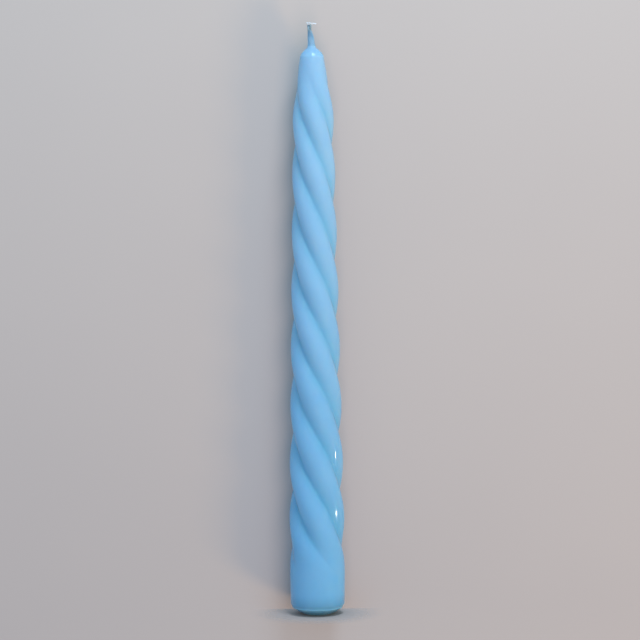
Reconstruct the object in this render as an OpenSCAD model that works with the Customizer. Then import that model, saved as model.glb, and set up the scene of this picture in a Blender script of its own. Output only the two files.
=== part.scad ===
// Twisted taper candle: four round ridges wound left-handed round a tapering body,
// with a plain round foot, a domed tip and a plaited wick that leans a little.
// Millimetres, +Z up, origin at the centre of the foot's bottom face.

/* [Foot] */
// Diameter of the plain round foot that goes into a holder
foot_d = 23.3; // [20:0.1:30]
// Height of the plain foot, up to where the flutes begin
foot_h = 16; // [8:0.5:22]
// Height of the rounded bevel that runs in to the bottom face
edge_h = 4.3; // [1.5:0.1:6]
// How far that bevel goes in
edge_w = 5.6; // [1.5:0.1:7]
// Fullness of the bevel: 2 is a quarter of an ellipse, 1 a straight slope
edge_fullness = 1.2; // [1.1:0.05:2.4]

/* [Body] */
// Height of the wax, from the bottom face to the top of the dome
wax_h = 240.75; // [160:0.25:320]
// Height at which the straight taper begins
taper_z = 47; // [28:1:70]
// Diameter across the ridges where the nose begins
nose_d = 17.4; // [14:0.2:20]
// Length of the curved nose, from the straight taper up to the dome
nose_h = 28; // [20:1:50]
// Diameter at the shoulder of the dome
shoulder_d = 10; // [9:0.25:13]
// Height of the dome over its shoulder
dome_h = 4.5; // [3:0.25:7]
// Fullness of the dome: 2 is half an ellipse, less is more pointed
dome_fullness = 1.4; // [1.3:0.05:2.4]

/* [Twist] */
// Number of ridges round the body
ridges = 4; // [3:1:6]
// Height of one full turn
lead = 97.5; // [70:0.5:240]
// Direction of the first ridge at the bottom face, in degrees
ridge_angle = 60; // [0:1:90]
// Depth of the flutes, measured on a body as wide as the foot
flute_depth = 3; // [1:0.1:3.6]
// Half width of the rounded bottom of a flute
flute_round = 1; // [0.3:0.1:1.5]
// Height over which the flutes run out into the foot
foot_fade = 22; // [10:1:40]
// Height over which the flutes run out towards the dome
nose_fade = 26; // [15:1:50]

/* [Over-dip coat] */
// Thickness of the coloured wax that the core is dipped in
coat_t = 0.8; // [0.5:0.1:1.2]
// Diameter of the neck of wax that the dip leaves round the wick
neck_d = 3.1; // [2.8:0.1:4]
// Height of that neck along the wick
neck_h = 6; // [4:0.5:8]
// How far the neck flares where it runs into the dome
neck_flare = 0.8; // [0.3:0.1:1.2]
// Wall left at the top rim of the neck
neck_rim_t = 0.1; // [0.1:0.05:0.3]

/* [Wick] */
// Diameter of one strand of the plait
strand_d = 0.5; // [0.3:0.01:0.6]
// Length in which a strand comes back to the same place
plait_period = 9; // [7:0.5:14]
// Length of wick that stands out of the dome
wick_out = 9.6; // [6:0.2:20]
// Lean of that length to the side, in degrees
wick_lean = 5.5; // [0:0.5:10]
// How far under the top of the dome the lean begins
lean_drop = 2; // [1.6:0.1:3]
// Length over which the strands spread at the cut end
fray_h = 2.5; // [1:0.1:4]
// How much wider than the plait the strands stand at the cut end
fray_spread = 0.5; // [0:0.05:1]
// Slope of the cut across the end, in degrees
cut_slope = 12; // [0:1:25]
// Room round the plait in its channel
wick_clearance = 0.06; // [0.05:0.01:0.15]

/* [Hidden] */

// A plait of three: how far a strand's centre swings to the side and to the front, in strand diameters,
// and where on its figure of eight the first strand starts, in degrees
STRANDS = 3;
PLAIT_REACH = 1.2;
PLAIT_LIFT = 0.95;
PLAIT_START = 30;

// Points on a ridge and height between rings, on the outer skin and on the hidden core
skin_points = 11;
skin_step = 4;
core_points = 6;
core_step = 6.6;

// Sides of a strand, and its rings in one period of the plait, in the wax and where the wick shows
strand_sides = 6;
strand_rings = 6;
shown_rings = 12;

// Points on a rounded edge or bend, and sides of a round
curve_points = 8;
$fn = 96;

// How far the twisted body reaches into the foot and the dome, and how far inside their skins it lies
lap = 1;
lap_inset = 0.02;

// Extra room where the wick's channel turns
knee = 0.1;

foot_r = foot_d / 2;
nose_r = nose_d / 2;
shoulder_r = shoulder_d / 2;
neck_r = neck_d / 2;
strand_r = strand_d / 2;
plait_reach = PLAIT_REACH * strand_d;
plait_lift = PLAIT_LIFT * strand_d;
shoulder_z = wax_h - dome_h;
nose_z = shoulder_z - nose_h;
taper_slope = (foot_r - nose_r) / (nose_z - taper_z);
nose_drop = nose_r - taper_slope * nose_h - shoulder_r;
channel_r = plait_reach + strand_r + wick_clearance;
lean_z = wax_h - lean_drop;
wick_len = wax_h + wick_out - coat_t;
straight_len = lean_z - coat_t;

// Smooth step from 0 to 1
function ease(t) = let (u = max(0, min(1, t))) u * u * (3 - 2 * u);

// Point of a curve bent from a to b towards c
function bend(a, c, b, t) = (1 - t) * (1 - t) * a + 2 * t * (1 - t) * c + t * t * b;

// Radius across the ridges: a straight foot, a straight taper and a nose that curves in to the shoulder
function body_r(z) =
    z <= taper_z ? foot_r
    : z <= nose_z ? foot_r - taper_slope * (z - taper_z)
    : let (up = z - nose_z, t = up / nose_h) nose_r - taper_slope * up - nose_drop * t * t * (2 - t);

// Share of the full flute depth that is left at a height
function flute_share(z) = ease((z - foot_h) / foot_fade) * ease((shoulder_z - z) / nose_fade);

// Radius at the bottom of a sharp flute
function valley_r(z) = body_r(z) * (1 - flute_depth / foot_r * flute_share(z));

// Distance from the axis of the centre of a ridge's round, which meets the next round in the valley
function ridge_centre(z) =
    let (r = body_r(z), v = valley_r(z)) (r * r - v * v) / (2 * (r - v * cos(180 / ridges)));

// Radius of the section at an angle from a ridge's crest, with the skin moved in by inset
function section_r(angle, z, inset) =
    let (
        half = 180 / ridges,
        centre = ridge_centre(z),
        round_r = body_r(z) - centre - inset,
        soft = flute_round / body_r(z) * 180 / PI,
        from_valley = half - abs(angle),
        a = half - half * sqrt((pow(from_valley, 2) + pow(soft, 2)) / (pow(half, 2) + pow(soft, 2)))
    )
    centre * cos(a) + sqrt(pow(round_r, 2) - pow(centre * sin(a), 2));

// Direction of the first ridge: it turns clockwise, seen from above, on the way up
function ridge_turn(z) = ridge_angle - 360 * z / lead;

function ring(z, inset, points) =
    let (half = 180 / ridges, count = ridges * points)
    [for (i = [0 : count - 1])
        let (
            a = i * 360 / count,
            from_crest = (a + half) % (2 * half) - half,
            r = section_r(from_crest, z, inset)
        )
        [r * cos(a + ridge_turn(z)), r * sin(a + ridge_turn(z)), z]];

// Closed skin over a stack of rings that all have the same number of points
module skin(rings) {
    count = len(rings[0]);
    last = (len(rings) - 1) * count;
    polyhedron(
        points = [for (r = rings) each r],
        faces = concat(
            [[for (i = [0 : count - 1]) i]],
            [[for (i = [count - 1 : -1 : 0]) last + i]],
            [for (k = [0 : len(rings) - 2], i = [0 : count - 1])
                let (a = k * count + i, b = k * count + (i + 1) % count)
                each [[a, a + count, b + count], [a, b + count, b]]]
        ),
        convexity = 6
    );
}

module twisted_body(inset, points, step) {
    low = foot_h - lap;
    high = shoulder_z - lap / 2;
    count = ceil((high - low) / step);
    skin([for (k = [0 : count]) ring(low + (high - low) * k / count, inset + lap_inset, points)]);
}

// Plain foot with a flat bottom and a rounded bevel
module foot(inset) {
    base_r = foot_r - edge_w;
    power = 2 / edge_fullness;
    rotate_extrude()
        polygon(concat(
            [[0, inset]],
            [for (i = [0 : curve_points])
                let (
                    a = 90 * i / curve_points,
                    out = (edge_w - inset) * pow(sin(a), power),
                    down = (edge_h - inset) * pow(cos(a), power)
                )
                [base_r + out, edge_h - down]],
            [[foot_r - inset, foot_h], [0, foot_h]]
        ));
}

// Height of the dome over its shoulder at a distance from the axis
function dome_rise(r) = dome_h * pow(1 - pow(r / shoulder_r, dome_fullness), 1 / dome_fullness);

// Domed tip, with a short skirt that covers the end of the twisted body
module dome(inset) {
    skirt_r = body_r(shoulder_z - lap) - inset;
    low_r = shoulder_r - inset;
    rise = dome_h - inset;
    power = 2 / dome_fullness;
    rotate_extrude()
        polygon(concat(
            [[0, shoulder_z - lap], [skirt_r, shoulder_z - lap]],
            [for (i = [0 : curve_points])
                let (a = 90 * i / curve_points)
                [low_r * pow(cos(a), power), shoulder_z + rise * pow(sin(a), power)]]
        ));
}

// The whole wax form, with its skin moved in by inset
module wax_form(inset, points, step) {
    foot(inset);
    twisted_body(inset, points, step);
    dome(inset);
}

// Puts its children at the place where the wick starts to lean, with +Z along the leaning wick
module on_leaning_wick() {
    translate([0, 0, lean_z]) rotate([0, -wick_lean, 0]) children();
}

// Upper end of the wick's channel: a little ball where it turns, then a bore along the leaning wick
module channel_end() {
    translate([0, 0, lean_z]) sphere(r = channel_r + knee);
    on_leaning_wick() translate([0, 0, knee]) cylinder(r = channel_r, h = lean_drop + wick_out);
}

// The whole channel, from under the core up to the end of the wick
module wick_channel() {
    cylinder(r = channel_r, h = lean_z - knee);
    channel_end();
}

// Neck of wax round the foot of the bare wick, flared out of the dome and slimmer towards its rim
module neck() {
    flare_r = neck_r + neck_flare;
    flare = [flare_r, dome_rise(flare_r) - dome_h + lean_drop];
    waist = [neck_r, lean_drop + neck_flare];
    rim = [channel_r + neck_rim_t, lean_drop + neck_h];
    flare_bend = [neck_r, lean_drop];
    on_leaning_wick()
        rotate_extrude()
            polygon(concat(
                [[0, flare[1] - lap], [flare[0], flare[1] - lap]],
                [for (i = [0 : curve_points]) bend(flare, flare_bend, waist, i / curve_points)],
                [rim, [0, rim[1]]]
            ));
}

// Solid core of plain wax
module wax_core() {
    color("ivory")
        difference() {
            wax_form(coat_t, core_points, core_step);
            wick_channel();
        }
}

// Coloured over-dip: one thin skin all round the core, closed under the foot
module colour_coat() {
    color("#82b9e3")
        difference() {
            union() {
                wax_form(0, skin_points, skin_step);
                neck();
            }
            wax_form(coat_t, core_points, core_step);
            channel_end();
        }
}

// Place of a point beside the wick's middle line, at a length along the wick from its lower end
function on_wick(s, side, front) =
    let (up = s - straight_len, c = cos(wick_lean), n = sin(wick_lean))
    up <= 0 ? [side, front, coat_t + s] : [side * c - up * n, front, lean_z + up * c + side * n];

// Centre of a strand at a length along the wick: three strands share one figure of eight
function strand_centre(s, k) =
    let (
        t = 360 * (s / plait_period + k / STRANDS) + PLAIT_START,
        spread = 1 + fray_spread * ease((s - wick_len + fray_h) / fray_h)
    )
    on_wick(s, plait_reach * spread * sin(t), plait_lift * spread * sin(2 * t));

// Ring of points round a strand, square to the way it runs
function strand_ring(s, k) =
    let (
        ahead = strand_centre(s + strand_r, k) - strand_centre(s - strand_r, k),
        along = ahead / norm(ahead),
        across = cross([0, 1, 0], along),
        u = across / norm(across),
        v = cross(along, u)
    )
    [for (i = [0 : strand_sides - 1])
        let (a = 360 * i / strand_sides)
        strand_centre(s, k) + strand_r * (cos(a) * u + sin(a) * v)];

// One strand over the whole length of the wick, with closer rings where the wick shows
module wick_strand(k) {
    step = plait_period / strand_rings;
    shown_step = plait_period / shown_rings;
    hidden = floor(straight_len / step);
    side = strand_centre(wick_len, k)[0] - on_wick(wick_len, 0, 0)[0];
    length = wick_len - side * tan(cut_slope);
    shown = ceil((length - hidden * step) / shown_step) - 2;
    places = concat(
        [for (i = [0 : hidden]) i * step],
        [for (i = [1 : shown]) hidden * step + i * shown_step],
        [length]
    );
    color("aliceblue") skin([for (s = places) strand_ring(s, k)]);
}

wax_core();
colour_coat();
wick_strand(0);  // wick_strand_a
wick_strand(1);  // wick_strand_b
wick_strand(2);  // wick_strand_c
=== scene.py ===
"""Twisted taper candle in pale blue wax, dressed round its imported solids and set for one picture.

Metres throughout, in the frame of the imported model: +Z up the candle, origin under the middle of its foot.
"""

import math

import bpy
from bpy.props import FloatProperty, FloatVectorProperty, IntProperty, PointerProperty
from mathutils import Matrix, Vector


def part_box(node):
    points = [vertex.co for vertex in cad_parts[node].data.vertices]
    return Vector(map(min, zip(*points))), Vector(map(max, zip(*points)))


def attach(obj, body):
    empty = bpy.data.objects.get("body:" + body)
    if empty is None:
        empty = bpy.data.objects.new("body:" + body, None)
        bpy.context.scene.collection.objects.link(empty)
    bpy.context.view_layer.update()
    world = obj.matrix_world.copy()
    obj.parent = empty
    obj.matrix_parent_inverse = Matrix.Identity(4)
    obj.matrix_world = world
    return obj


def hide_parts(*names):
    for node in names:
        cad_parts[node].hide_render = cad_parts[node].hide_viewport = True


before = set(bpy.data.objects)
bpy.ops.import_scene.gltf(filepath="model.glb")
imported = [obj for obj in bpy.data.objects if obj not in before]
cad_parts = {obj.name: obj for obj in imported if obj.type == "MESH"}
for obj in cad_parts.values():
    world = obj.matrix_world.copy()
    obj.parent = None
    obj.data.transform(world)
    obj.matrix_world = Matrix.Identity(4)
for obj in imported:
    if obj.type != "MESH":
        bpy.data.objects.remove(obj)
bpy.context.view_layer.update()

bl_info = {
    "name": "Twisted Candle",
    "version": (1, 0, 0),
    "blender": (4, 5, 0),
    "location": "View3D > Sidebar > Candle",
    "description": "Builds a twisted taper candle with its plaited wick, and a stage for it",
    "category": "Add Mesh",
}

MM = 0.001
FULL_TURN = 2 * math.pi
BODY = "root"
FOOT_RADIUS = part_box("colour_coat")[1].x
STRANDS = ("wick_strand_a", "wick_strand_b", "wick_strand_c")


def length(name, default, description):
    """Property for a length, given in millimetres and kept in metres."""
    return FloatProperty(
        name=name, description=description, default=default * MM, unit="LENGTH", precision=5
    )


def angle(name, default, description):
    """Property for an angle, given in degrees and kept in radians."""
    return FloatProperty(
        name=name, description=description, default=math.radians(default), unit="ROTATION"
    )


def number(name, default, description):
    """Property for a plain number."""
    return FloatProperty(name=name, description=description, default=default)


def count(name, default, description):
    """Property for a whole number."""
    return IntProperty(name=name, description=description, default=default, min=0)


def linear(*levels):
    """Scene colour of a colour given in screen levels from 0 to 255."""
    shares = [level / 255 for level in levels]
    return [s / 12.92 if s <= 0.04045 else ((s + 0.055) / 1.055) ** 2.4 for s in shares]


def colour(name, default, description):
    """Property for a colour, given in screen levels."""
    return FloatVectorProperty(
        name=name, description=description, default=linear(*default), subtype="COLOR", size=3, min=0, max=1
    )


class TipShape:
    """Lean of the soft tip and the wick to the left, which the body and the wick share."""

    drift_start: length("Drift start", 218, "Height at which the soft tip starts to stand off the axis")
    tip_drift: length("Tip drift", 0.4, "How far the dome stands off the axis")
    lean_height: length("Lean height", 238.75, "Height at which the wick starts to bend")
    bend_length: length("Bend length", 11.65, "Length of the bent stretch, up to the wick's cut end")
    wick_bend: length("Wick bend", 1.5, "How far the wick's end is bent off the dome's middle")


class CandleBodyShape(TipShape, bpy.types.PropertyGroup):
    """Sizes of the twisted wax body."""

    foot_radius: length("Foot radius", FOOT_RADIUS / MM, "Radius of the plain round foot")
    foot_height: length("Foot height", 16, "Height at which the flutes begin")
    edge_height: length("Edge height", 4.6, "Height of the rounded bevel under the foot")
    edge_width: length("Edge width", 6.1, "How far that bevel goes in")
    edge_fullness: number("Edge fullness", 1.35, "2 is a round edge, 1 a straight bevel")
    foot_draft: length("Foot draft", 0.2, "How much slimmer the foot is at its lower end")
    wax_height: length("Wax height", 240.75, "Height of the wax up to the top of the dome")
    taper_start: length("Taper start", 47, "Height at which the straight taper begins")
    nose_radius: length("Nose radius", 8.7, "Radius across the ridges where the nose begins")
    nose_length: length("Nose length", 28, "Length of the curved nose below the dome")
    shoulder_radius: length("Shoulder radius", 5, "Radius at the shoulder of the dome")
    dome_height: length("Dome height", 4.5, "Height of the dome over its shoulder")
    dome_fullness: number("Dome fullness", 1.4, "2 is half an ellipse, less is more pointed")
    ridges: count("Ridges", 4, "Number of ridges round the body")
    lead: length("Lead", 97.5, "Height of one full turn of a ridge")
    ridge_angle: angle("Ridge angle", 61.5, "Direction of the first ridge at the bottom face")
    flute_depth: length("Flute depth", 3, "Depth of a flute on a body as wide as the foot")
    flute_round: length("Flute round", 1, "Half width of the rounded bottom of a flute")
    foot_fade: length("Foot fade", 22, "Height over which the flutes run out into the foot")
    nose_fade: length("Nose fade", 26, "Height over which the flutes run out towards the dome")
    neck_radius: length("Neck radius", 1.55, "Radius of the neck of wax round the wick")
    neck_height: length("Neck height", 6, "Height of that neck over the dome")
    neck_flare: length("Neck flare", 0.5, "How far the neck flares into the dome")
    rim_radius: length("Rim radius", 1.01, "Radius of the neck's upper rim")
    ripple: length("Ripple", 0.16, "Height of the soft unevenness of the dipped skin")
    foot_bead: length("Foot bead", 0.5, "How far the bead of wax round the foot's bevel stands out")
    bead_height: length("Bead height", 3.0, "Height of that bead over the bottom face")
    plait_bump: length("Plait bump", 0.09, "How far the plait shows through the neck")
    rows: count("Rows", 430, "Rings of the mesh from the bottom face to the neck")
    around: count("Around", 184, "Points of the mesh round the body")
    seed: number("Seed", 3.7, "Seed of the skin's unevenness")


class CandleWickShape(TipShape, bpy.types.PropertyGroup):
    """Sizes of the plaited wick."""

    strand_radius: length("Strand radius", 0.29, "Radius of one strand of the plait")
    reach: length("Reach", 0.52, "How far a strand swings to the side")
    lift: length("Lift", 0.52, "How far a strand swings to the front and back")
    flatness: number("Flatness", 1.38, "How much wider than thick a strand lies in the plait")
    start: angle("Start", 30, "Where on its figure of eight the first strand starts")
    period: length("Period", 9, "Length in which a strand comes back to the same place")
    low_end: length("Low end", 0.8, "Height of the wick's lower end")
    fray_height: length("Fray height", 2.5, "Length over which the strands spread at the cut end")
    fray_spread: number("Fray spread", 0.4, "How much wider the strands stand at the cut end")
    fray_shift: length("Fray shift", 0.6, "How far the cut end turns back to the right")
    yarn_lay: length("Yarn lay", 1.9, "Length of one turn of the yarns in a strand")
    yarns: count("Yarns", 5, "Yarns that show round a strand")
    yarn_groove: number("Yarn groove", 0.16, "Depth of the grooves between yarns, as a share of the radius")
    rings: count("Rings", 420, "Rings of the mesh along a strand")
    sides: count("Sides", 20, "Points of the mesh round a strand")


class CandleFrayShape(bpy.types.PropertyGroup):
    """Sizes of the frayed cut end of the wick."""

    fibres: count("Fibres", 460, "Loose fibres at the cut end")
    fibre_radius: length("Fibre radius", 0.045, "Radius of a fibre")
    tuft_height: length("Tuft height", 0.9, "Height of the tuft of loose fibres")
    low_width: length("Low width", 0.95, "Half width of the tuft where it leaves the plait")
    low_depth: length("Low depth", 0.6, "Half depth of the tuft there")
    high_width: length("High width", 2.1, "Half width of the tuft at the cut")
    high_depth: length("High depth", 1.1, "Half depth of the tuft at the cut")
    high_shift: length("High shift", 0.9, "How far the cut end is pushed to the right")
    cut_slope: number("Cut slope", 0.13, "Fall of the cut from left to right, as a share of its width")
    seed: count("Seed", 11, "Seed of the fibres' places and lengths")


class CandleColours(bpy.types.PropertyGroup):
    """Colours of the candle."""

    wax: colour("Wax", (163, 205, 230), "Pale blue wax near the tip")
    # Painted shade: the body runs from the wax colour at the tip to this darker colour at the foot
    wax_deep: colour("Deep wax", (97, 173, 215), "The same wax low on the body")
    # Painted shade: tint that darkens and deepens the blue where the flutes are deepest
    wax_groove: colour("Groove tint", (221, 253, 255), "Tint of the wax at the bottom of the flutes")
    # Painted shade: dark colour on the foot's downward-facing bevel and bottom face
    wax_foot: colour("Foot wax", (72, 126, 160), "Wax under the rounded end of the foot")
    core: colour("Core wax", (238, 230, 208), "Plain wax under the coloured dip")
    neck: colour("Neck wax", (126, 158, 178), "Thin wax round the foot of the wick")
    cotton: colour("Cotton", (246, 249, 250), "Dry cotton at the cut end")
    cotton_waxed: colour("Waxed cotton", (142, 172, 184), "Cotton that has drawn up blue wax")
    backdrop: colour("Backdrop", (206, 197, 190), "Pale backdrop, high up")
    # Painted shade: darker colour of the backdrop low down
    backdrop_low_shade: colour("Low backdrop", (186, 179, 176), "Pale backdrop, low down")
    floor: colour("Floor", (212, 184, 172), "Pale floor")


class CandleStage(bpy.types.PropertyGroup):
    """Places of the camera and the backdrop."""

    camera_distance: length("Camera distance", 1400, "Distance of the camera from the candle's axis")
    camera_height: length("Camera height", 246.9, "Height of the camera over the floor")
    camera_side: length("Camera side", 2.06, "How far the camera stands to the right")
    camera_half_view: angle("Half view", 5.494, "Half of the camera's angle of view")
    camera_pitch: angle("Pitch", 4.963, "How far the camera looks down")
    camera_roll: angle("Roll", 0.53, "Roll of the camera, which leans the candle to the left")
    backdrop_distance: length("Backdrop distance", 11.9, "Distance of the backdrop behind the axis")


def plug(tree, value, socket):
    """Gives a socket a field, another socket's output or a plain value."""
    if isinstance(value, Field):
        tree.links.new(value.socket, socket)
    elif isinstance(value, bpy.types.NodeSocket):
        tree.links.new(value, socket)
    else:
        socket.default_value = value


def add_node(tree, kind, inputs=None, **settings):
    """New node with its settings and inputs."""
    node = tree.nodes.new(kind)
    for name, value in settings.items():
        setattr(node, name, value)
    for name, value in (inputs or {}).items():
        plug(tree, value, node.inputs[name])
    return node


def sum_node(tree, operation, *values):
    """Field that one sum gives."""
    node = add_node(tree, "ShaderNodeMath", operation=operation)
    for socket, value in zip(node.inputs, values):
        plug(tree, value, socket)
    return Field(tree, node.outputs[0])


class Field:
    """A number at every point of a node tree, with Python's own signs for its sums."""

    def __init__(self, tree, socket):
        self.tree = tree
        self.socket = socket

    def __add__(self, other):
        return sum_node(self.tree, "ADD", self, other)

    def __radd__(self, other):
        return sum_node(self.tree, "ADD", other, self)

    def __sub__(self, other):
        return sum_node(self.tree, "SUBTRACT", self, other)

    def __rsub__(self, other):
        return sum_node(self.tree, "SUBTRACT", other, self)

    def __mul__(self, other):
        return sum_node(self.tree, "MULTIPLY", self, other)

    def __rmul__(self, other):
        return sum_node(self.tree, "MULTIPLY", other, self)

    def __truediv__(self, other):
        return sum_node(self.tree, "DIVIDE", self, other)

    def __rtruediv__(self, other):
        return sum_node(self.tree, "DIVIDE", other, self)

    def __pow__(self, other):
        return sum_node(self.tree, "POWER", self, other)

    def __neg__(self):
        return sum_node(self.tree, "MULTIPLY", self, -1)


def sine(x):
    return sum_node(x.tree, "SINE", x)


def cosine(x):
    return sum_node(x.tree, "COSINE", x)


def root(x):
    return sum_node(x.tree, "SQRT", x)


def size(x):
    return sum_node(x.tree, "ABSOLUTE", x)


def at_least(x, low):
    return sum_node(x.tree, "MAXIMUM", x, low)


def at_most(x, high):
    return sum_node(x.tree, "MINIMUM", x, high)


def held(x):
    """The field kept between 0 and 1."""
    return at_most(at_least(x, 0), 1)


def part(x, start, end):
    """How far the field is on its way from start to end, from 0 to 1."""
    return held((x - start) / (end - start))


def ease(x):
    """Smooth step from 0 to 1."""
    u = held(x)
    return u * u * (3 - 2 * u)


def rise_over(x, start, span):
    """Smooth step from 0 at start to 1 a span further on."""
    return ease((x - start) / span)


def bend(a, c, b, t):
    """Point of a curve bent from a to b towards c."""
    return (1 - t) * (1 - t) * a + 2 * t * (1 - t) * c + t * t * b


def bump(x, middle, width):
    """Round bump of height 1 at middle."""
    return 1 / (1 + ((x - middle) / width) ** 2) ** 2


def split(tree, vector):
    """The three fields of a vector socket."""
    node = add_node(tree, "ShaderNodeSeparateXYZ", {"Vector": vector})
    return [Field(tree, socket) for socket in node.outputs]


def joined(tree, x, y, z):
    """Vector socket of three fields."""
    return add_node(tree, "ShaderNodeCombineXYZ", {"X": x, "Y": y, "Z": z}).outputs[0]


def cloud(tree, vector, scale, detail=2.0, seed=0.0):
    """Soft random field from about -0.5 to 0.5."""
    node = add_node(
        tree,
        "ShaderNodeTexNoise",
        {"Vector": vector, "W": seed, "Scale": scale, "Detail": detail, "Roughness": 0.5},
        noise_dimensions="4D",
    )
    return Field(tree, node.outputs[0]) - 0.5


def sizes_of(values):
    """The numbers of a property group, which are the inputs of its tree."""
    return [prop for prop in values.bl_rna.properties if prop.type in ("FLOAT", "INT")]


def new_tree(name, values):
    """Geometry tree with a named input for each number of a property group, and the inputs' fields."""
    tree = bpy.data.node_groups.new(name, "GeometryNodeTree")
    tree.is_modifier = True
    tree.interface.new_socket("Geometry", in_out="OUTPUT", socket_type="NodeSocketGeometry")
    sources = sizes_of(values)
    for prop in sources:
        kind = "NodeSocketInt" if prop.type == "INT" else "NodeSocketFloat"
        tree.interface.new_socket(prop.name, in_out="INPUT", socket_type=kind)
    tree.interface.new_socket("Strand", in_out="INPUT", socket_type="NodeSocketFloat")
    tree.interface.new_socket("Material", in_out="INPUT", socket_type="NodeSocketMaterial")
    outputs = tree.nodes.new("NodeGroupInput").outputs
    given = {prop.identifier: Field(tree, outputs[prop.name]) for prop in sources}
    given["strand"] = Field(tree, outputs["Strand"])
    given["material"] = outputs["Material"]
    return tree, given


def close_tree(tree, given, geometry):
    """Ends a tree: smooth, real geometry with its material."""
    smooth = add_node(tree, "GeometryNodeSetShadeSmooth", {"Geometry": geometry})
    real = add_node(tree, "GeometryNodeRealizeInstances", {"Geometry": smooth.outputs[0]})
    dressed = add_node(
        tree, "GeometryNodeSetMaterial", {"Geometry": real.outputs[0], "Material": given["material"]}
    )
    plug(tree, dressed.outputs[0], tree.nodes.new("NodeGroupOutput").inputs[0])


def store(tree, geometry, name, value):
    """Keeps a field as a named attribute of the points."""
    node = add_node(
        tree,
        "GeometryNodeStoreNamedAttribute",
        {"Geometry": geometry, "Name": name, "Value": value},
        data_type="FLOAT",
        domain="POINT",
    )
    return node.outputs[0]


def place(tree, geometry, position=None, offset=None):
    """Moves points to a position or by an offset."""
    inputs = {"Geometry": geometry}
    if position is not None:
        inputs["Position"] = position
    if offset is not None:
        inputs["Offset"] = offset
    return add_node(tree, "GeometryNodeSetPosition", inputs).outputs[0]


def piece_from(tree, name, values, material, strand=0):
    """Plain mesh object that a tree makes from a property group's values."""
    piece = bpy.data.objects.new(name, bpy.data.meshes.new(name))
    bpy.context.scene.collection.objects.link(piece)
    modifier = piece.modifiers.new(tree.name, "NODES")
    modifier.node_group = tree
    given = {prop.name: getattr(values, prop.identifier) for prop in sizes_of(values)}
    given["Strand"] = float(strand)
    given["Material"] = material
    for socket in tree.interface.items_tree:
        if socket.in_out == "INPUT":
            modifier[socket.identifier] = given[socket.name]
    graph = bpy.context.evaluated_depsgraph_get()
    mesh = bpy.data.meshes.new_from_object(
        piece.evaluated_get(graph), preserve_all_data_layers=True, depsgraph=graph
    )
    piece.modifiers.remove(modifier)
    old = piece.data
    piece.data = mesh
    bpy.data.meshes.remove(old)
    mesh.name = name
    if not mesh.polygons:
        raise RuntimeError(f"{name} came out empty")
    return piece


# Shares of the body's rings: bottom face, foot's edge, body, dome, flare, neck and wax between the strands
ROW_SHARES = (0.02, 0.06, 0.70, 0.09, 0.04, 0.07, 0.02)
# Sag of the wax between the strands
RIM_SAG = 0.25 * MM
# Half width of the foot's bead, how far it wanders up and down, and how many waves it has
BEAD_WIDTH = 0.6 * MM
BEAD_WANDER = 1.2 * MM
BEAD_WAVES = 1.6
# Distance under which points of the mesh are one
WELD = 0.0005 * MM
# Fineness of the dip's unevenness on the whole body and of the stronger one at its foot
DIP_FINENESS = 110.0
FOOT_FINENESS = 240.0
FOOT_SHARE = 1.2
# How far the unevenness is drawn out in height, less than 1 being longer
DIP_DRAW = 0.6
# Zones of the skin: height at which the next one starts, and the height over which it takes over
BASE_ZONE = (0.2 * MM, 0.8 * MM)
FOOT_ZONE = (3 * MM, 9 * MM)
NECK_ZONE = (0.5 * MM, 2 * MM)
# Height between two bumps of the plait under the neck's wax, and the wick's middle there
NECK_PLAIT = 4.5 * MM
NECK_MIDDLE = 0.5 * MM


def tip_shift(g, height):
    """Field of how far the soft tip and the wick stand to the left at a height."""
    soft = rise_over(height, g["drift_start"], g["lean_height"] - g["drift_start"])
    over = at_least(height - g["lean_height"], 0) / g["bend_length"]
    return g["tip_drift"] * soft + g["wick_bend"] * over ** 2


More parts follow.
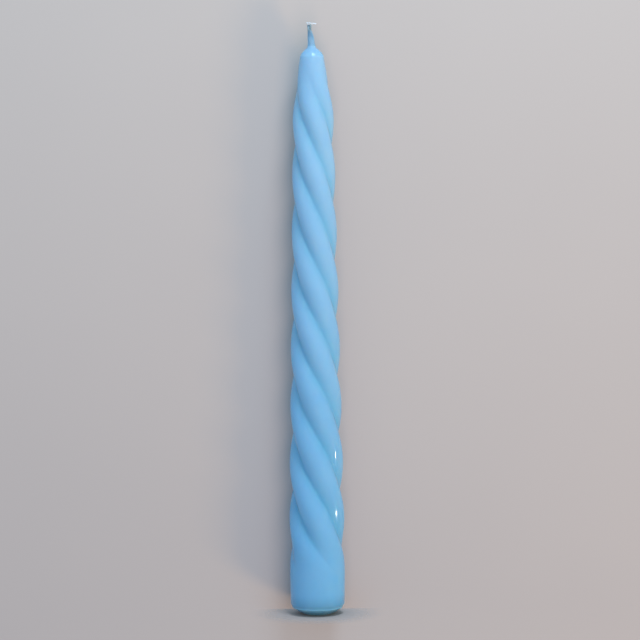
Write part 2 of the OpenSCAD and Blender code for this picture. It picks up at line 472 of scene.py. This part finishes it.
def body_tree(values):
    """Tree of the twisted body: a tube whose rings follow the candle's profile and turn with its ridges."""
    tree, g = new_tree("Twisted wax body", values)
    tube = add_node(
        tree,
        "GeometryNodeMeshCylinder",
        {"Vertices": g["around"], "Side Segments": g["rows"], "Radius": 1.0, "Depth": 1.0},
        fill_type="NONE",
    )
    spot = add_node(tree, "GeometryNodeInputPosition").outputs[0]
    x, y, z = split(tree, spot)
    along = z + 0.5
    turn = sum_node(tree, "ARCTAN2", y, x)

    ends = [sum(ROW_SHARES[:k]) for k in range(len(ROW_SHARES) + 1)]
    bottom, edge, wall, dome, flare, neck, rim = (part(along, a, b) for a, b in zip(ends, ends[1:]))

    shoulder_z = g["wax_height"] - g["dome_height"]
    nose_z = shoulder_z - g["nose_length"]
    slope = (g["foot_radius"] - g["nose_radius"]) / (nose_z - g["taper_start"])
    nose_drop = g["nose_radius"] - slope * g["nose_length"] - g["shoulder_radius"]

    corner = edge * (math.pi / 2)
    edge_power = 2 / g["edge_fullness"]
    base_radius = g["foot_radius"] - g["foot_draft"] - g["edge_width"]
    radius = base_radius * bottom + g["edge_width"] * sine(corner) ** edge_power
    height = g["edge_height"] * (1 - at_least(cosine(corner), 0) ** edge_power)
    height = height + (shoulder_z - g["edge_height"]) * wall
    body_z = height
    draft = rise_over(body_z, g["edge_height"], g["foot_height"] - g["edge_height"])
    radius = radius + g["foot_draft"] * draft
    nose = part(body_z, nose_z, shoulder_z)
    radius = radius - slope * at_least(body_z - g["taper_start"], 0) - nose_drop * nose * nose * (2 - nose)

    power = 2 / g["dome_fullness"]
    flare_radius = g["neck_radius"] + g["neck_flare"]
    dome_end = sum_node(tree, "ARCCOSINE", (flare_radius / g["shoulder_radius"]) ** (1 / power))
    tilt = dome * dome_end
    radius = radius + g["shoulder_radius"] * (cosine(tilt) ** power - 1)
    height = height + g["dome_height"] * sine(tilt) ** power
    flare_low = g["dome_height"] * sine(dome_end) ** power
    waist = g["dome_height"] + g["neck_flare"]
    rim_z = g["dome_height"] + g["neck_height"]
    radius = radius + bend(flare_radius, g["neck_radius"], g["neck_radius"], flare) - flare_radius
    height = height + bend(flare_low, g["dome_height"], waist, flare) - flare_low
    radius = radius + (g["rim_radius"] - g["neck_radius"]) * neck
    height = height + (rim_z - waist) * neck
    radius = radius - g["rim_radius"] * rim
    height = height - RIM_SAG * rim * rim

    half = math.pi / g["ridges"]
    depth = g["flute_depth"] / g["foot_radius"]
    fade = rise_over(body_z, g["foot_height"], g["foot_fade"])
    fade = fade * ease((shoulder_z - body_z) / g["nose_fade"])
    valley = radius * (1 - depth * fade)
    centre = (radius * radius - valley * valley) / (2 * (radius - valley * cosine(half)))
    round_radius = radius - centre
    soft = g["flute_round"] / radius
    from_crest = sum_node(tree, "WRAP", turn, half, -half)
    from_valley = half - size(from_crest)
    bent = half - half * root((from_valley ** 2 + soft ** 2) / (half ** 2 + soft ** 2))
    fluted = centre * cosine(bent) + root(at_least(round_radius ** 2 - (centre * sine(bent)) ** 2, 0))
    groove = (radius - fluted) / (radius * depth)

    heading = turn + g["ridge_angle"] - body_z * FULL_TURN / g["lead"]
    ring = joined(tree, cosine(heading), sine(heading), 0.0)
    wander = cloud(tree, ring, scale=BEAD_WAVES, detail=1.0, seed=g["seed"]) * BEAD_WANDER
    bead = bump(height, g["bead_height"] + wander, BEAD_WIDTH)
    full = fluted + g["foot_bead"] * bead
    skin = store(tree, tube.outputs["Mesh"], "groove", held(groove))
    skin = store(tree, skin, "bead", bead)
    side = full * cosine(heading) - tip_shift(g, height)
    skin = place(tree, skin, joined(tree, side, full * sine(heading), height))
    skin = add_node(
        tree, "GeometryNodeMergeByDistance", {"Geometry": skin, "Distance": WELD}
    ).outputs[0]

    x, y, z = split(tree, spot)
    drawn = joined(tree, x, y, z * DIP_DRAW)
    slow = cloud(tree, drawn, scale=DIP_FINENESS, detail=2.0, seed=g["seed"])
    low = cloud(tree, joined(tree, x, y, z), scale=FOOT_FINENESS, detail=1.0, seed=g["seed"] + 5)
    at_foot = 1 - rise_over(z, *FOOT_ZONE)
    on_base = 1 - rise_over(z, *BASE_ZONE)
    on_neck = rise_over(z - g["wax_height"], *NECK_ZONE)
    around = sum_node(tree, "ARCTAN2", y, x + NECK_MIDDLE)
    plait = sine(around * 2 + z * (FULL_TURN / NECK_PLAIT)) * g["plait_bump"] * on_neck
    uneven = g["ripple"] * slow + g["ripple"] * FOOT_SHARE * low * at_foot
    uneven = uneven * (1 - on_base) * (1 - on_neck)
    normal = add_node(tree, "GeometryNodeInputNormal").outputs[0]
    push = add_node(tree, "ShaderNodeVectorMath", {0: normal, "Scale": uneven + plait}, operation="SCALE")
    skin = place(tree, skin, offset=push.outputs[0])
    close_tree(tree, g, skin)
    return tree


# Share of a strand's rings on its hidden, straight stretch
HIDDEN_RINGS = 0.6
# How far fibres stray from their place in the tuft, how unevenly they are cut, and their bow
FIBRE_STRAY = 0.2 * MM
UNEVEN_CUT = 0.35 * MM
FIBRE_BOW = (-0.28, 0, 0.55)
# Depth below the cut end at which the fibres turn dry
DRY_DEPTH = 1.1 * MM


def strand_path(g, along):
    """Fields of a strand's centre at a length along the wick: three strands share one figure of eight."""
    height = g["low_end"] + along
    top = g["lean_height"] + g["bend_length"]
    swing = (along / g["period"] + g["strand"] / len(STRANDS)) * FULL_TURN + g["start"]
    cut = ease((height - top + g["fray_height"]) / g["fray_height"])
    spread = 1 + g["fray_spread"] * cut
    side = g["reach"] * spread * sine(swing)
    front = g["lift"] * spread * sine(swing * 2)
    return side - tip_shift(g, height) + g["fray_shift"] * cut, front, height


def strand_tree(values):
    """Tree of one strand: twisted yarns on their way through the plait, with most rings where it shows."""
    tree, g = new_tree("Wick strand", values)
    straight = g["lean_height"] - g["low_end"]
    line = add_node(tree, "GeometryNodeCurvePrimitiveLine", {"Start": (0, 0, 0), "End": (0, 0, 1)})
    path = add_node(
        tree, "GeometryNodeResampleCurve", {"Curve": line.outputs[0], "Count": g["rings"]}
    ).outputs[0]
    factor = Field(tree, add_node(tree, "GeometryNodeSplineParameter").outputs["Factor"])
    along = straight * part(factor, 0, HIDDEN_RINGS) + g["bend_length"] * part(factor, HIDDEN_RINGS, 1)
    shown = part(along, straight, straight + g["bend_length"])
    path = store(tree, path, "shown", shown)
    twist = along * FULL_TURN / g["yarn_lay"]
    path = add_node(tree, "GeometryNodeSetCurveTilt", {"Curve": path, "Tilt": twist}).outputs[0]
    path = place(tree, path, joined(tree, *strand_path(g, along)))
    spot = add_node(tree, "GeometryNodeInputPosition").outputs[0]
    kept = add_node(tree, "GeometryNodeCaptureAttribute", domain="POINT")
    kept.capture_items.new("VECTOR", "Centre")
    plug(tree, path, kept.inputs["Geometry"])
    plug(tree, spot, kept.inputs["Centre"])
    loop = add_node(
        tree, "GeometryNodeCurvePrimitiveCircle", {"Resolution": g["sides"], "Radius": 1.0}
    ).outputs["Curve"]
    turn = Field(tree, add_node(tree, "GeometryNodeSplineParameter").outputs["Factor"]) * FULL_TURN
    thick = g["strand_radius"] * (1 - g["yarn_groove"] * (0.5 - 0.5 * cosine(turn * g["yarns"])))
    loop = place(tree, loop, joined(tree, thick * cosine(turn), thick * sine(turn), 0.0))
    tube = add_node(
        tree,
        "GeometryNodeCurveToMesh",
        {"Curve": kept.outputs["Geometry"], "Profile Curve": loop, "Fill Caps": True},
    )
    from_centre = split(tree, spot)[0] - split(tree, kept.outputs["Centre"])[0]
    wider = joined(tree, from_centre * (g["flatness"] - 1), 0.0, 0.0)
    close_tree(tree, g, place(tree, tube.outputs[0], offset=wider))
    return tree


def chance(tree, low, high, seed, draw):
    """Random field between low and high, different for each draw."""
    node = add_node(tree, "FunctionNodeRandomValue", data_type="FLOAT")
    plug(tree, low, node.inputs[2])
    plug(tree, high, node.inputs[3])
    plug(tree, seed + draw, node.inputs["Seed"])
    return Field(tree, node.outputs[1])


def fray_tree(values, top):
    """Tree of the frayed end: thin fibres that leave the plait and splay out to a slanted cut."""
    tree, g = new_tree("Wick fray", values)
    points = add_node(tree, "GeometryNodePoints", {"Count": g["fibres"]}).outputs[0]
    spin = chance(tree, 0.0, FULL_TURN, g["seed"], 1)
    out = root(chance(tree, 0.0, 1.0, g["seed"], 2))
    across = out * cosine(spin)
    deep = out * sine(spin)
    low_x = across * g["low_width"]
    low_y = deep * g["low_depth"]
    wide_x = across * g["high_width"] + chance(tree, -FIBRE_STRAY, FIBRE_STRAY, g["seed"], 3)
    high_x = wide_x + g["high_shift"]
    high_y = deep * g["high_depth"] + chance(tree, -FIBRE_STRAY, FIBRE_STRAY, g["seed"], 4)
    rise = g["tuft_height"] - wide_x * g["cut_slope"] - chance(tree, 0.0, UNEVEN_CUT, g["seed"], 5)
    span_x = high_x - low_x
    span_y = high_y - low_y
    level = root(span_x ** 2 + span_y ** 2)
    reach = root(level ** 2 + rise ** 2)
    points = place(
        tree, points, joined(tree, low_x + top.x, low_y + top.y, top.z - g["tuft_height"])
    )
    fibre = add_node(
        tree,
        "GeometryNodeCurveQuadraticBezier",
        {"Resolution": 4, "Start": (0, 0, 0), "Middle": FIBRE_BOW, "End": (0, 0, 1)},
    ).outputs[0]
    loop = add_node(tree, "GeometryNodeCurvePrimitiveCircle", {"Resolution": 4}).outputs["Curve"]
    thin = g["fibre_radius"] / g["tuft_height"]
    around = Field(tree, add_node(tree, "GeometryNodeSplineParameter").outputs["Factor"]) * FULL_TURN
    loop = place(tree, loop, joined(tree, thin * cosine(around), thin * sine(around), 0.0))
    fibre = add_node(
        tree, "GeometryNodeCurveToMesh", {"Curve": fibre, "Profile Curve": loop, "Fill Caps": True}
    ).outputs[0]
    lean = sum_node(tree, "ARCTAN2", level, rise)
    heading = sum_node(tree, "ARCTAN2", span_y, span_x)
    tuft = add_node(
        tree,
        "GeometryNodeInstanceOnPoints",
        {
            "Points": points,
            "Instance": fibre,
            "Rotation": joined(tree, 0.0, lean, heading),
            "Scale": joined(tree, reach, reach, reach),
        },
    ).outputs[0]
    close_tree(tree, g, tuft)
    return tree


def new_material(name):
    """Material with its tree, its Principled shader and the Object coordinates."""
    material = bpy.data.materials.new(name)
    material.use_nodes = True
    tree = material.node_tree
    spots = add_node(tree, "ShaderNodeTexCoord").outputs["Object"]
    return material, tree, tree.nodes["Principled BSDF"], spots


def shader_cloud(tree, vector, scale, detail=3.0):
    """Soft random field from 0 to 1."""
    node = add_node(
        tree, "ShaderNodeTexNoise", {"Vector": vector, "Scale": scale, "Detail": detail, "Roughness": 0.55}
    )
    return Field(tree, node.outputs[0])


def mixed(tree, share, first, second, blend="MIX"):
    """Colour between two others, or the first one tinted by the second."""
    node = add_node(tree, "ShaderNodeMix", data_type="RGBA", blend_type=blend)
    plug(tree, share, node.inputs[0])
    plug(tree, first, node.inputs[6])
    plug(tree, second, node.inputs[7])
    return node.outputs[2]


def opaque(value):
    return (*value, 1.0)


def dipped_skin_group():
    """Shader group: the clouding, the fine pores and the small marks of wax that has set in air."""
    tree = bpy.data.node_groups.new("Set wax skin", "ShaderNodeTree")
    tree.interface.new_socket("Coordinates", in_out="INPUT", socket_type="NodeSocketVector")
    tree.interface.new_socket("Pore size", in_out="INPUT", socket_type="NodeSocketFloat")
    for name in ("Clouding", "Gloss loss", "Height"):
        tree.interface.new_socket(name, in_out="OUTPUT", socket_type="NodeSocketFloat")
    given = tree.nodes.new("NodeGroupInput").outputs
    spots = given["Coordinates"]
    pore = Field(tree, given["Pore size"])
    clouding = shader_cloud(tree, spots, scale=70.0, detail=3.0)
    smear = shader_cloud(tree, spots, scale=260.0, detail=4.0)
    fine = shader_cloud(tree, spots, scale=1 / pore, detail=2.0)
    specks = add_node(
        tree, "ShaderNodeTexVoronoi", {"Vector": spots, "Scale": 0.18 / pore}, feature="F1"
    ).outputs["Distance"]
    pit = 1 - ease(Field(tree, specks) / 0.16)
    result = tree.nodes.new("NodeGroupOutput").inputs
    plug(tree, clouding, result["Clouding"])
    plug(tree, held((smear - 0.35) * 1.6), result["Gloss loss"])
    plug(tree, fine * 0.5 + smear * 0.5 - pit * 0.6, result["Height"])
    return tree


def use_group(tree, group, inputs):
    """Places a shader group in a material."""
    node = tree.nodes.new("ShaderNodeGroup")
    node.node_tree = group
    for name, value in inputs.items():
        plug(tree, value, node.inputs[name])
    return node.outputs


def add_bump(tree, shader, height, strength, distance):
    """Fine relief on a shader's normal."""
    node = add_node(
        tree, "ShaderNodeBump", {"Height": height, "Strength": strength, "Distance": distance}
    )
    plug(tree, node.outputs[0], shader.inputs["Normal"])


# Shares of the blue wax's tones: painted shade low on the body, clouding, painted shade in the flutes and on
# the bevel, the bead kept out of that painted shade so it reads lit, and thin wax at the lower end of the
# neck
LOW_SHADE_SHARE = 0.8
CLOUD_SHARE = 0.3
FLUTE_SHADE_SHARE = 1.6
BEVEL_SHADE_SHARE = 0.55
BEAD_UNSHADED_SHARE = 0.9
LOW_NECK_SHARE = 0.6
# Heights at which those tones start, each with the height over which they change; the last two over the dome
BEVEL_SHADE_ZONE = (2.5 * MM, 7.5 * MM)
BASE_SHADE_ZONE = (1 * MM, 1.4 * MM)
NECK_TONE = (-0.8 * MM, 1.8 * MM)
THIN_TONE = (1.5 * MM, 4 * MM)


def blue_wax(colours, skin, wax_height):
    """Glossy, slightly translucent wax of the over-dip, thin and dull where it runs up the wick, with
    painted shade towards the foot, in the flutes and under the foot.
    """
    material, tree, shader, spots = new_material("dipped_blue_wax")
    z = split(tree, spots)[2]
    groove = Field(tree, add_node(tree, "ShaderNodeAttribute", attribute_name="groove").outputs["Fac"])
    bead = Field(tree, add_node(tree, "ShaderNodeAttribute", attribute_name="bead").outputs["Fac"])
    given = use_group(tree, skin, {"Coordinates": spots, "Pore size": 0.0006})
    clouding = Field(tree, given["Clouding"])
    # Painted shade darkens the wax towards the foot; the clouding mixed in is the wax's own random tone
    low = 1 - part(z, 0.0, wax_height)
    deep = held(low * LOW_SHADE_SHARE + (clouding - 0.5) * CLOUD_SHARE)
    body = mixed(tree, deep, opaque(colours.wax), opaque(colours.wax_deep))
    # Painted shade in the flutes, strongest at their bottoms
    body = mixed(tree, groove ** 2 * FLUTE_SHADE_SHARE, body, opaque(colours.wax_groove), "MULTIPLY")
    # Painted shade on the bevel and the bottom face, kept off the bead so that the bead reads lit
    bevel = BEVEL_SHADE_SHARE * (1 - rise_over(z, *BEVEL_SHADE_ZONE))
    below = 1 - rise_over(z, *BASE_SHADE_ZONE)
    under = held(bevel + below) * (1 - BEAD_UNSHADED_SHARE * bead)
    body = mixed(tree, under, body, opaque(colours.wax_foot))
    over = z - wax_height
    thin = LOW_NECK_SHARE + (1 - LOW_NECK_SHARE) * rise_over(over, *THIN_TONE)
    up = rise_over(over, *NECK_TONE) * thin
    plug(tree, mixed(tree, up, body, opaque(colours.neck)), shader.inputs["Base Color"])
    plug(tree, Field(tree, given["Gloss loss"]) * 0.12 + 0.1 + up * 0.3, shader.inputs["Roughness"])
    shader.inputs["IOR"].default_value = 1.44
    shader.inputs["Subsurface Weight"].default_value = 1.0
    shader.inputs["Subsurface Radius"].default_value = (0.5, 0.85, 1.0)
    shader.inputs["Subsurface Scale"].default_value = 0.0045
    add_bump(tree, shader, given["Height"], 0.06, 0.0001)
    return material


def core_wax(colours, skin):
    """Plain ivory wax of the hidden core."""
    material, tree, shader, spots = new_material("plain_core_wax")
    given = use_group(tree, skin, {"Coordinates": spots, "Pore size": 0.0009})
    pale = tuple(min(1.0, level * 1.08) for level in colours.core)
    wax = mixed(tree, given["Clouding"], opaque(colours.core), opaque(pale))
    plug(tree, wax, shader.inputs["Base Color"])
    plug(tree, Field(tree, given["Gloss loss"]) * 0.2 + 0.4, shader.inputs["Roughness"])
    shader.inputs["Subsurface Weight"].default_value = 0.3
    shader.inputs["Subsurface Radius"].default_value = (1.0, 0.8, 0.6)
    shader.inputs["Subsurface Scale"].default_value = 0.002
    add_bump(tree, shader, given["Height"], 0.3, 0.0001)
    return material


def waxed_cotton(colours):
    """Cotton strand: soaked with blue wax low down, dry and pale at the cut end."""
    material, tree, shader, spots = new_material("waxed_cotton")
    shown = Field(tree, add_node(tree, "ShaderNodeAttribute", attribute_name="shown").outputs["Fac"])
    fuzz = shader_cloud(tree, spots, scale=4200.0)
    dry = ease((shown + (fuzz - 0.5) * 0.12 - 0.9) / 0.1)
    cotton = mixed(tree, dry, opaque(colours.cotton_waxed), opaque(colours.cotton))
    plug(tree, cotton, shader.inputs["Base Color"])
    plug(tree, 0.45 + 0.4 * dry, shader.inputs["Roughness"])
    add_bump(tree, shader, fuzz, 0.5, 0.00006)
    return material


def dry_cotton(colours, dry_height):
    """Loose cotton fibres, still waxed low down and dry at their ends."""
    material, tree, shader, spots = new_material("dry_cotton")
    z = split(tree, spots)[2]
    fuzz = shader_cloud(tree, spots, scale=2600.0)
    dry = ease((z - dry_height + (fuzz - 0.5) * 0.4 * MM) / (0.5 * MM))
    cotton = mixed(tree, dry, opaque(colours.cotton_waxed), opaque(colours.cotton))
    plug(tree, cotton, shader.inputs["Base Color"])
    shader.inputs["Roughness"].default_value = 0.9
    return material


def declare(piece, slot, *nodes):
    """Rides a piece on the candle and hides the solids that it stands for; the slot is not used."""
    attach(piece, BODY)
    if nodes:
        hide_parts(*nodes)


class CANDLE_OT_wax_body(bpy.types.Operator):
    """Makes the twisted body with its foot, dome and neck of blue wax"""

    bl_idname = "candle.wax_body"
    bl_label = "Wax body"

    def execute(self, context):
        scene = context.scene
        material = blue_wax(scene.candle_colours, dipped_skin_group(), scene.candle_body.wax_height)
        tree = body_tree(scene.candle_body)
        piece = piece_from(tree, "dipped_body", scene.candle_body, material)
        declare(piece, "blue_wax", "colour_coat")
        return {"FINISHED"}


class CANDLE_OT_wax_core(bpy.types.Operator):
    """Gives the hidden core its plain wax"""

    bl_idname = "candle.wax_core"
    bl_label = "Wax core"

    def execute(self, context):
        group = bpy.data.node_groups["Set wax skin"]
        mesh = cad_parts["wax_core"].data
        mesh.materials.clear()
        mesh.materials.append(core_wax(context.scene.candle_colours, group))
        return {"FINISHED"}


class CANDLE_OT_wick(bpy.types.Operator):
    """Makes the three plaited strands of the wick"""

    bl_idname = "candle.wick"
    bl_label = "Wick strands"

    def execute(self, context):
        scene = context.scene
        material = waxed_cotton(scene.candle_colours)
        tree = strand_tree(scene.candle_wick)
        for k, node in enumerate(STRANDS):
            piece = piece_from(tree, "plaited_" + node, scene.candle_wick, material, k)
            declare(piece, "wick_cotton", node)
        return {"FINISHED"}


class CANDLE_OT_wick_fray(bpy.types.Operator):
    """Makes the loose fibres of the wick's cut end"""

    bl_idname = "candle.wick_fray"
    bl_label = "Wick fray"

    def execute(self, context):
        scene = context.scene
        wick = scene.candle_wick
        side = wick.fray_shift - wick.tip_drift - wick.wick_bend
        top = Vector((side, 0.0, wick.lean_height + wick.bend_length))
        tree = fray_tree(scene.candle_fray, top)
        material = dry_cotton(scene.candle_colours, top.z - DRY_DEPTH)
        piece = piece_from(tree, "wick_fray", scene.candle_fray, material)
        declare(piece, "wick_cotton")
        return {"FINISHED"}


# Half width of both boards, top and lower end of the backdrop, and the height over which its painted shade
# gives way to its lighter top
BOARD_HALF = 0.2
BACKDROP_TOP = 0.32
BACKDROP_END = -0.04
TONE_HEIGHT = 0.26
# Where the boards start to fade, and over what length: the floor outwards, the backdrop upwards and sideways
FLOOR_FADE = (10 * MM, 20 * MM)
BACKDROP_FADE_UP = (0.27, 0.05)
BACKDROP_FADE_OUT = (0.15, 0.05)
# Tone of the studio where no board stands, and the fill that lights the candle from all round
STUDIO_TONE = linear(177, 173, 175)
FILL_TINT = (0.46, 0.75, 1.0)
FILL_STRENGTH = 0.586
# Spot that the three soft lamps stand a metre from
MIDDLE = Vector((0, 0, 0.12))


def board_material(name, low, high, shown):
    """Matt pale board, seen from its front only, whose edges fade into the studio behind it; its low colour,
    where darker, is painted shade.
    """
    material, tree, shader, spots = new_material(name)
    x, y, z = split(tree, spots)
    mottle = (shader_cloud(tree, spots, scale=9.0, detail=2.0) - 0.5) * 0.2
    # Painted shade: the board darkens from its high colour to its low colour towards the floor, with random
    # mottle
    tone = mixed(tree, held(z / TONE_HEIGHT + mottle), opaque(low), opaque(high))
    plug(tree, tone, shader.inputs["Base Color"])
    shader.inputs["Roughness"].default_value = 0.9
    shader.inputs["Specular IOR Level"].default_value = 0.1
    back = Field(tree, add_node(tree, "ShaderNodeNewGeometry").outputs["Backfacing"])
    clear = tree.nodes.new("ShaderNodeBsdfTransparent")
    mix = tree.nodes.new("ShaderNodeMixShader")
    plug(tree, (1 - back) * shown(x, y, z), mix.inputs[0])
    plug(tree, clear.outputs[0], mix.inputs[1])
    plug(tree, shader.outputs[0], mix.inputs[2])
    plug(tree, mix.outputs[0], tree.nodes["Material Output"].inputs["Surface"])
    return material


def floor_fade(x, y, z):
    """The floor shows round the foot and fades out further away."""
    return 1 - rise_over(root(x ** 2 + y ** 2), *FLOOR_FADE)


def backdrop_fade(x, y, z):
    """The backdrop fades out towards its edges."""
    return (1 - rise_over(z, *BACKDROP_FADE_UP)) * (1 - rise_over(size(x), *BACKDROP_FADE_OUT))


def way(turn, rise):
    """Direction to a lamp in degrees: turned to the right of the front, and risen from the level."""
    a = math.radians(turn)
    e = math.radians(rise)
    return Vector((math.sin(a) * math.cos(e), -math.cos(a) * math.cos(e), math.sin(e)))


def set_lamp(name, kind, spot, aim, watts):
    """Lamp at a spot that looks at its aim and isn't seen itself."""
    item = bpy.data.objects.new(name, bpy.data.lights.new(name, kind))
    item.data.energy = watts
    item.location = spot
    item.rotation_euler = (aim - spot).to_track_quat("-Z", "Y").to_euler()
    item.visible_camera = False
    bpy.context.scene.collection.objects.link(item)
    return item


def add_lamp(name, turn, rise, watts, tint, width, gloss=True):
    """Round soft lamp a metre away, which may stay out of the wax's gloss."""
    item = set_lamp(name, "AREA", MIDDLE + way(turn, rise), MIDDLE, watts)
    item.data.color = tint
    item.data.shape = "DISK"
    item.data.size = width
    item.visible_glossy = gloss


def add_spark(name, glint, turn, rise, distance, watts, radius, beam, lift=0.0):
    """Small spot lamp that shows only as a glint on the wax, with its aim lifted off the glint."""
    spot = Vector(glint)
    aim = spot + Vector((0, 0, lift))
    item = set_lamp(name, "SPOT", spot + way(turn, rise) * distance, aim, watts)
    item.data.shadow_soft_size = radius
    item.data.spot_size = math.radians(beam)
    item.data.spot_blend = 0.2
    item.visible_diffuse = False


class CANDLE_OT_stage(bpy.types.Operator):
    """Sets the floor, the backdrop, the lamps and the camera"""

    bl_idname = "candle.stage"
    bl_label = "Stage"

    def execute(self, context):
        scene = context.scene
        values = scene.candle_stage
        self.boards(values, scene.candle_colours)
        self.light(scene)
        self.camera(scene, values)
        scene.view_settings.view_transform = "Standard"
        return {"FINISHED"}

    def board(self, name, corners, material):
        """Flat board that casts no shadow of its own."""
        mesh = bpy.data.meshes.new(name)
        mesh.from_pydata(corners, [], [(0, 1, 2, 3)])
        mesh.materials.append(material)
        item = bpy.data.objects.new(name, mesh)
        bpy.context.scene.collection.objects.link(item)
        item.visible_shadow = False
        return item

    def boards(self, values, colours):
        """Floor under the candle and backdrop close behind it."""
        wide = BOARD_HALF
        back = values.backdrop_distance
        low = BACKDROP_END
        top = BACKDROP_TOP
        self.board(
            "studio_floor",
            [(-wide, -wide, 0), (wide, -wide, 0), (wide, wide, 0), (-wide, wide, 0)],
            board_material("pale_floor", colours.floor, colours.floor, floor_fade),
        )
        backdrop = self.board(
            "studio_backdrop",
            [(-wide, back, low), (wide, back, low), (wide, back, top), (-wide, back, top)],
            board_material("pale_backdrop", colours.backdrop_low_shade, colours.backdrop, backdrop_fade),
        )
        # The backdrop throws no light back, so the far side of the candle keeps its colour
        backdrop.visible_diffuse = False

    def light(self, scene):
        """Window from above, wide panel in front, warm lamp from low right, three glints and a cool fill."""
        add_lamp("window", 25, 63, watts=4.9, tint=(0.61, 0.81, 1.0), width=0.35)
        add_lamp("front_panel", 10, -12, watts=5.0, tint=(1.0, 0.71, 0.58), width=0.9, gloss=False)
        add_lamp("low_lamp", 57, -34, watts=3.2, tint=(1.0, 0.65, 0.28), width=0.25, gloss=False)
        add_spark(
            "upper_spark", (0.0082, -0.0070, 0.068), 65, -28.8,
            distance=0.1, watts=0.075, radius=0.0024, beam=6.4, lift=0.0025,
        )
        add_spark(
            "lower_spark", (0.0084, -0.0070, 0.044), 65, -34,
            distance=0.1, watts=0.05, radius=0.002, beam=6.4, lift=0.0025,
        )
        add_spark(
            "dome_spark", (0, -0.004, 0.2376), 28, 65,
            distance=0.15, watts=0.52, radius=0.02, beam=8,
        )
        world = bpy.data.worlds.new("studio")
        scene.world = world
        world.use_nodes = True
        tree = world.node_tree
        fill = tree.nodes["Background"]
        fill.inputs["Color"].default_value = opaque(FILL_TINT)
        fill.inputs["Strength"].default_value = FILL_STRENGTH
        shown = add_node(tree, "ShaderNodeBackground", {"Color": opaque(STUDIO_TONE), "Strength": 1.0})
        rays = tree.nodes.new("ShaderNodeLightPath").outputs
        seen = Field(tree, rays["Is Camera Ray"]) + Field(tree, rays["Is Glossy Ray"])
        seen = held(seen + Field(tree, rays["Is Transmission Ray"]))
        mix = tree.nodes.new("ShaderNodeMixShader")
        plug(tree, seen, mix.inputs[0])
        plug(tree, fill.outputs[0], mix.inputs[1])
        plug(tree, shown.outputs[0], mix.inputs[2])
        plug(tree, mix.outputs[0], tree.nodes["World Output"].inputs["Surface"])

    def camera(self, scene, values):
        """Camera of the picture, looking along +Y and a little down."""
        data = bpy.data.cameras.new("picture")
        data.sensor_width = 36
        data.lens = data.sensor_width / 2 / math.tan(values.camera_half_view)
        item = bpy.data.objects.new("picture", data)
        pitch = Matrix.Rotation(math.pi / 2 - values.camera_pitch, 4, "X")
        roll = Matrix.Rotation(-values.camera_roll, 4, "Z")
        spot = Vector((values.camera_side, -values.camera_distance, values.camera_height))
        item.matrix_world = Matrix.Translation(spot) @ (pitch @ roll)
        scene.collection.objects.link(item)
        scene.camera = item


class CANDLE_PT_panel(bpy.types.Panel):
    """Lists the candle's operators and values"""

    bl_idname = "CANDLE_PT_panel"
    bl_label = "Twisted Candle"
    bl_space_type = "VIEW_3D"
    bl_region_type = "UI"
    bl_category = "Candle"

    def draw(self, context):
        for operator in OPERATORS:
            self.layout.operator(operator.bl_idname)
        for group in GROUPS:
            box = self.layout.box()
            values = getattr(context.scene, group)
            for prop in values.bl_rna.properties:
                if prop.identifier not in ("rna_type", "name"):
                    box.prop(values, prop.identifier)


GROUPS = {
    "candle_body": CandleBodyShape,
    "candle_wick": CandleWickShape,
    "candle_fray": CandleFrayShape,
    "candle_colours": CandleColours,
    "candle_stage": CandleStage,
}
OPERATORS = (
    CANDLE_OT_stage,
    CANDLE_OT_wax_body,
    CANDLE_OT_wax_core,
    CANDLE_OT_wick,
    CANDLE_OT_wick_fray,
)
CLASSES = (*GROUPS.values(), *OPERATORS, CANDLE_PT_panel)


def register():
    for item in CLASSES:
        bpy.utils.register_class(item)
    for name, group in GROUPS.items():
        setattr(bpy.types.Scene, name, PointerProperty(type=group))


def unregister():
    for name in GROUPS:
        delattr(bpy.types.Scene, name)
    for item in reversed(CLASSES):
        bpy.utils.unregister_class(item)


def main():
    register()
    bpy.ops.candle.stage()
    bpy.ops.candle.wax_body()
    bpy.ops.candle.wax_core()
    bpy.ops.candle.wick()
    bpy.ops.candle.wick_fray()


if __name__ == "__main__":
    main()
